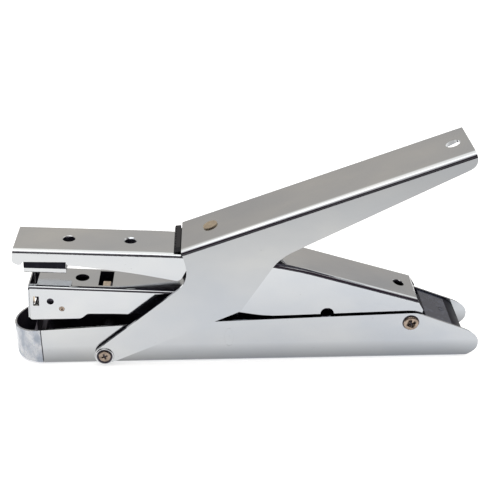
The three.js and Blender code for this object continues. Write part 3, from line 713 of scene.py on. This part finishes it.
def cross_recess(place, top, reach, half, depth):
    """Cutters for a cross recess with tapered wings and a pointed middle."""
    wings = []
    for turn in (radians(20), radians(110)):
        turned = place @ Matrix.Rotation(turn, 4, "Z")
        wings.append(slab("wing", (-reach, -half, top - depth), (reach, half, top + depth), turned, 0.72))
    above = top + 0.3 * depth
    point = lathe("point", [(0, top - 1.25 * depth), (half * 2.1, above), (0, above)], place, 24)
    return [*wings, point]


def screw(name, node, side, pivot, face, radius, height, edge, shank_end):
    """A low pan head with a cross recess, and its shank."""
    place = side_axis(side, Vector((pivot.x, side * face, pivot.z)))
    shank, edge_steps = 2.0 * MM, 6
    tip = shank_end - face
    profile = [(0, tip), (shank, tip), (shank, 0), (radius, 0), (radius, height - edge)]
    for step in range(1, edge_steps + 1):
        lean = (pi / 2) * step / edge_steps
        profile.append((radius - edge * 1.6 * (1 - cos(lean)), height - edge + edge * sin(lean)))
    profile.append((0, height + 0.08 * MM))
    mesh = lathe(name, profile, place, 56)
    recess = 0.85 * MM
    mesh = cut(mesh, cross_recess(place, height, radius * 0.62, 0.42 * MM, recess))
    # Painted shade in the depth of the cross recess.
    deep = face + height - 0.35 * recess
    darken(mesh, lambda part: (
        face - 0.3 * MM < abs(part.center.y) < deep and off_axis(part, pivot) < 0.64 * radius
    ))
    place_piece(name, mesh, node, width=0.07 * MM, segments=2, second=PAINTED_SHADE_STEEL)


def off_axis(face, pivot):
    """How far a face's middle is from the line across the tool through a pivot."""
    return Vector((face.center.x - pivot.x, face.center.z - pivot.z)).length


# Rings of (radius, out) in millimetres: a ring of painted shade round the hinge screw, and a pressed cup
# round the lever screw with painted shade within the last radius.
SHADE_RING = ((3.15, 0.01), (3.62, 0.01), (3.55, 0.06), (3.15, 0.06))
CUP = (
    (4.05, 0.01), (3.95, 0.28), (3.8, 0.5), (3.6, 0.55),
    (3.4, 0.45), (3.2, 0.16), (2.6, 0.06), (2.6, 0.01),
)
CUP_PAINTED_SHADE_RADIUS = 3.45 * MM


def screws():
    """The screws on both sides, with a ring of painted shade round each hinge screw and a pressed cup round
    each lever screw.
    """
    for side in (NEAR, FAR):
        word = SIDE_NAMES[side]
        screw(f"lever_screw_{word}", f"handle_screw_{word}", side, HANDLE_PIVOT,
              LEVER_HIGH.y + 0.05 * MM, 2.55 * MM, 0.62 * MM, 0.25 * MM, 5 * MM)
        screw(f"hinge_screw_{word}", f"rear_screw_{word}", side, REAR_PIVOT,
              BASE_HIGH.y + 0.05 * MM, 3.25 * MM, 1.15 * MM, 0.55 * MM, 8 * MM)
        place = side_axis(side, Vector((REAR_PIVOT.x, side * BASE_HIGH.y, REAR_PIVOT.z)))
        shade_ring = ring_lathe("shade_ring", [(r * MM, z * MM) for r, z in SHADE_RING], place, 64)
        loose_piece(f"screw_shade_ring_{word}", shade_ring, "base", [PAINTED_SHADE_STEEL])
        place = side_axis(side, Vector((HANDLE_PIVOT.x, side * LEVER_HIGH.y, HANDLE_PIVOT.z)))
        cup = ring_lathe(f"screw_cup_{word}", [(r * MM, z * MM) for r, z in CUP], place, 64)
        # Painted shade inside the cup, round the screw head.
        darken(cup, lambda face: off_axis(face, HANDLE_PIVOT) < CUP_PAINTED_SHADE_RADIUS)
        loose_piece(f"screw_cup_{word}", cup, "handle", [MATERIALS["chrome_sheet"], PAINTED_SHADE_STEEL])


# ---------------------------------------------------------------- plastic

def pad():
    """The nylon pad, with upright ribs on its front lip."""
    low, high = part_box("cam_pad")
    count, half, depth, beyond = 9, 0.42 * MM, 0.95 * MM, 1 * MM
    grooves = []
    for index in range(count):
        y = low.y + (high.y - low.y) * (index + 0.5) / count
        grooves.append(slab("groove", (low.x - beyond, y - half, low.z - beyond),
                            (low.x + depth, y + half, high.z + beyond)))
    mesh = cut(plain_copy("cam_pad"), grooves)
    place_piece("ribbed_pad", mesh, "cam_pad", width=0.14 * MM)


def cap():
    """The black tail cap with an ejector mark on its top."""
    low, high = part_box("end_cap")
    point, normal = ray_down("end_cap", low.x + 0.60 * (high.x - low.x), 0)
    place = Matrix.Translation(point) @ normal.to_track_quat("Z", "Y").to_matrix().to_4x4()
    mark = [(1.0, -0.12), (1.5, -0.12), (1.8, 0.5), (0.9, 0.5)]
    ring = ring_lathe("ejector", [(r * MM, z * MM) for r, z in mark], place, 40)
    mesh = cut(plain_copy("end_cap"), [ring])
    # Painted shade: the rear faces take the darker, duller black.
    darken(mesh, lambda face: face.normal.x > 0.4)
    place_piece("tail_cap", mesh, "end_cap", width=0.6 * MM, segments=4, second=PAINTED_SHADOW_BLACK)


# ---------------------------------------------------------------- springs

def helix(name, node, start, end, radius, wire, turns, dead_turns=1.0, sides=10, steps=20):
    """A round-wire compression spring whose end turns lie together."""
    axis = (end - start).normalized()
    length = (end - start).length - 2 * wire
    across = axis.orthogonal().normalized()
    other = axis.cross(across)
    count = int(turns * steps)
    path = []
    for step in range(count + 1):
        turned = turns * step / count
        free = turns - 2 * dead_turns
        open_turns = min(max(turned - dead_turns, 0), free)
        closed = min(turned, dead_turns) + max(turned - dead_turns - free, 0)
        pitch = (length - 2 * dead_turns * 2 * wire) / free
        along = wire + closed * 2 * wire + open_turns * pitch
        angle = 2 * pi * turned
        path.append(start + axis * along + across * radius * cos(angle) + other * radius * sin(angle))
    points = []
    for index, middle in enumerate(path):
        ahead = path[min(index + 1, count)] - path[max(index - 1, 0)]
        ahead.normalize()
        out = middle - start
        out = (out - axis * out.dot(axis)).normalized()
        up = ahead.cross(out).normalized()
        for side in range(sides):
            turn = 2 * pi * side / sides
            points.append(middle + out * wire * cos(turn) + up * wire * sin(turn))
    faces = grid_faces(count + 1, sides)
    faces.append(tuple(reversed(range(sides))))
    faces.append(tuple(count * sides + i for i in range(sides)))
    mesh = clean(mesh_from(name, points, faces))
    return place_piece(name, mesh, node)


def springs():
    """Two upright return springs, and the long one that pushes the follower."""
    wire = 0.5 * MM
    for name, node, turns, joint, keep in (
        ("lift_spring", "magazine_spring", 8, "magazine_pivot", 0.79),
        ("arm_return_spring", "arm_spring", 6, "arm_pivot", 0.84),
    ):
        low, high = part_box(node)
        middle = (low + high) / 2
        foot, head = Vector((middle.x, 0, low.z)), Vector((middle.x, 0, high.z))
        outer = (high.x - low.x) / 2
        piece = helix(name, node, foot, head, outer - wire, wire, turns)
        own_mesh(piece)

    low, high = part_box("follower_spring")
    wire, outer = 0.28 * MM, 1.8 * MM
    lean = outer * abs(SLIDE_AXIS.z / SLIDE_AXIS.x)
    start = Vector((low.x + lean, 0, high.z - outer))
    end = Vector((high.x - lean, 0, low.z + outer))
    piece = helix("feed_spring", "follower_spring", start, end, outer - wire, wire, 42,
                  dead_turns=1.5, sides=8, steps=14)
    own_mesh(piece)


# ---------------------------------------------------------------- studio

def floor():
    """A wide pale floor that glows a little, just under the tool."""
    half = 4.0
    shader = Shader("pale_floor", (0.9, 0.9, 0.9), 0.0, 0.9)
    shader.surface.inputs["Emission Color"].default_value = (1, 1, 1, 1)
    shader.surface.inputs["Emission Strength"].default_value = 0.62
    corners = [(-half, -half, 0), (half, -half, 0), (half, half, 0), (-half, half, 0)]
    mesh = mesh_from("floor", corners, [(0, 1, 2, 3)])
    mesh.materials.append(shader.material)
    ground = thing("studio_floor", mesh)
    ground.location.z = -0.05 * MM


def area_light(name, location, size, power):
    """A rectangular light that points at the origin."""
    light = bpy.data.lights.new(name, "AREA")
    light.shape = "RECTANGLE"
    light.size, light.size_y = size
    light.energy = power
    made = thing(name, light)
    made.location = location
    made.rotation_euler = (-Vector(location)).to_track_quat("-Z", "Y").to_euler()


def sky():
    """Soft studio surroundings: a bright ceiling, grey far wall and dark room behind the camera."""
    world = bpy.data.worlds.new("studio")
    bpy.context.scene.world = world
    world.use_nodes = True
    tree = world.node_tree
    background = tree.nodes["Background"]
    place = tree.nodes.new("ShaderNodeTexCoord")
    way = tree.nodes.new("ShaderNodeSeparateXYZ")
    tree.links.new(place.outputs["Generated"], way.inputs[0])

    def ramp(value, stops):
        made = tree.nodes.new("ShaderNodeValToRGB")
        made.color_ramp.interpolation = "EASE"
        elements = made.color_ramp.elements
        while len(elements) < len(stops):
            elements.new(0.5)
        for element, (position, color) in zip(elements, stops):
            element.position = position
            element.color = (*color, 1)
        tree.links.new(value, made.inputs["Fac"])
        return made.outputs["Color"]

    # Colours by height, from the horizon to the zenith.
    far = ramp(way.outputs["Z"], [
        (0.00, (0.60, 0.60, 0.61)), (0.28, (0.59, 0.56, 0.53)), (0.50, (0.69, 0.655, 0.61)),
        (0.70, (0.95, 0.92, 0.87)), (0.90, (1.6, 1.58, 1.52)),
    ])
    near = ramp(way.outputs["Z"], [
        (0.00, (0.020, 0.015, 0.028)), (0.12, (0.030, 0.022, 0.036)), (0.22, (0.15, 0.145, 0.15)),
        (0.38, (0.15, 0.145, 0.15)), (0.48, (0.035, 0.022, 0.036)), (0.72, (0.035, 0.022, 0.036)),
        (0.83, (0.15, 0.12, 0.12)), (0.89, (1.5, 1.48, 1.46)), (0.97, (1.6, 1.58, 1.52)),
    ])
    blend = 0.25
    side = tree.nodes.new("ShaderNodeMapRange")
    side.inputs["From Min"].default_value = -blend
    side.inputs["From Max"].default_value = blend
    tree.links.new(way.outputs["Y"], side.inputs["Value"])
    mix = tree.nodes.new("ShaderNodeMix")
    mix.data_type = "RGBA"
    tree.links.new(side.outputs["Result"], mix.inputs[0])
    tree.links.new(near, mix.inputs[6])
    tree.links.new(far, mix.inputs[7])
    tree.links.new(mix.outputs[2], background.inputs["Color"])


def studio():
    floor()
    sky()
    area_light("key", (-0.3, -0.35, 0.9), (0.9, 0.6), 1.3)
    area_light("fill", (0.5, 0.5, 0.8), (0.8, 0.8), 0.7)
    camera = bpy.data.cameras.new("camera")
    camera.sensor_width = 36
    camera.lens = 75.92
    camera.clip_start = 0.01
    made = thing("camera", camera)
    made.location = (-13.2 * MM, -387.1 * MM, 257.07 * MM)
    below_level, turn = radians(28.165), radians(-1.955)
    made.rotation_euler = (pi / 2 - below_level, 0, turn)
    bpy.context.scene.camera = made
    bpy.context.scene.view_settings.view_transform = "Standard"


base()
nose()
lever()
arm()
anvil()
magazine()
small_parts()
screws()
pad()
cap()
springs()
studio()
